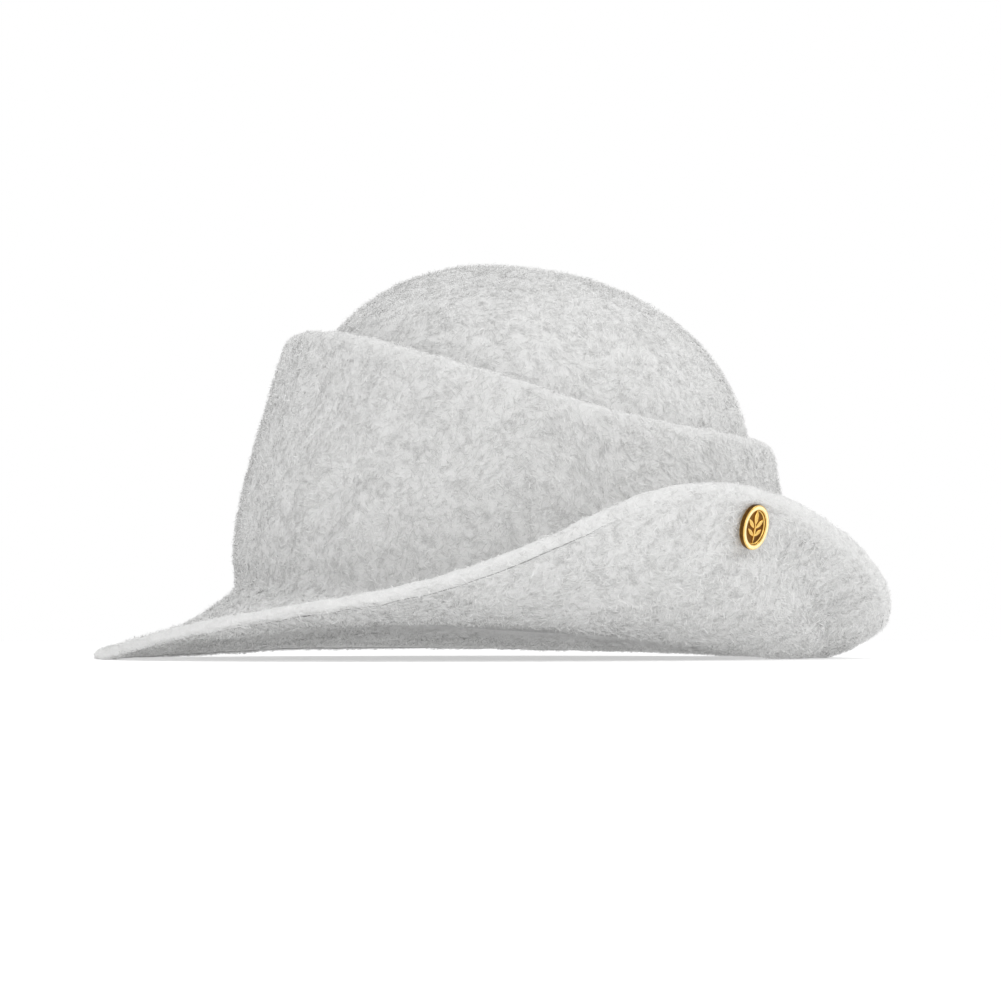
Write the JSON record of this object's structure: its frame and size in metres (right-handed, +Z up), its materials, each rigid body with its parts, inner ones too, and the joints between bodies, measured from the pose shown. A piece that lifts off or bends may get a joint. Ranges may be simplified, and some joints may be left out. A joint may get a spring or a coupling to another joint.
{
  "type": "felt hat",
  "caption": "Long-haired felt hat with a round crown inside a swept fold, a brim turned up over the left eye and a small oval badge.",
  "frame": {"origin": "middle of the hat's box, on the surface it rests on", "axes": "+Z up, -Y the front of the hat, +X the wearer's left"},
  "size_m": [0.2556, 0.3008, 0.1282],
  "materials": {
    "felt": "long-haired white felt",
    "ribbon": "matt ribbed ribbon",
    "gold": "polished gilt"
  },
  "bodies": {
    "root": {"felt_body": "felt", "sweatband": "ribbon", "badge": "gold", "badge_clasp": "gold"}
  },
  "joints": []
}
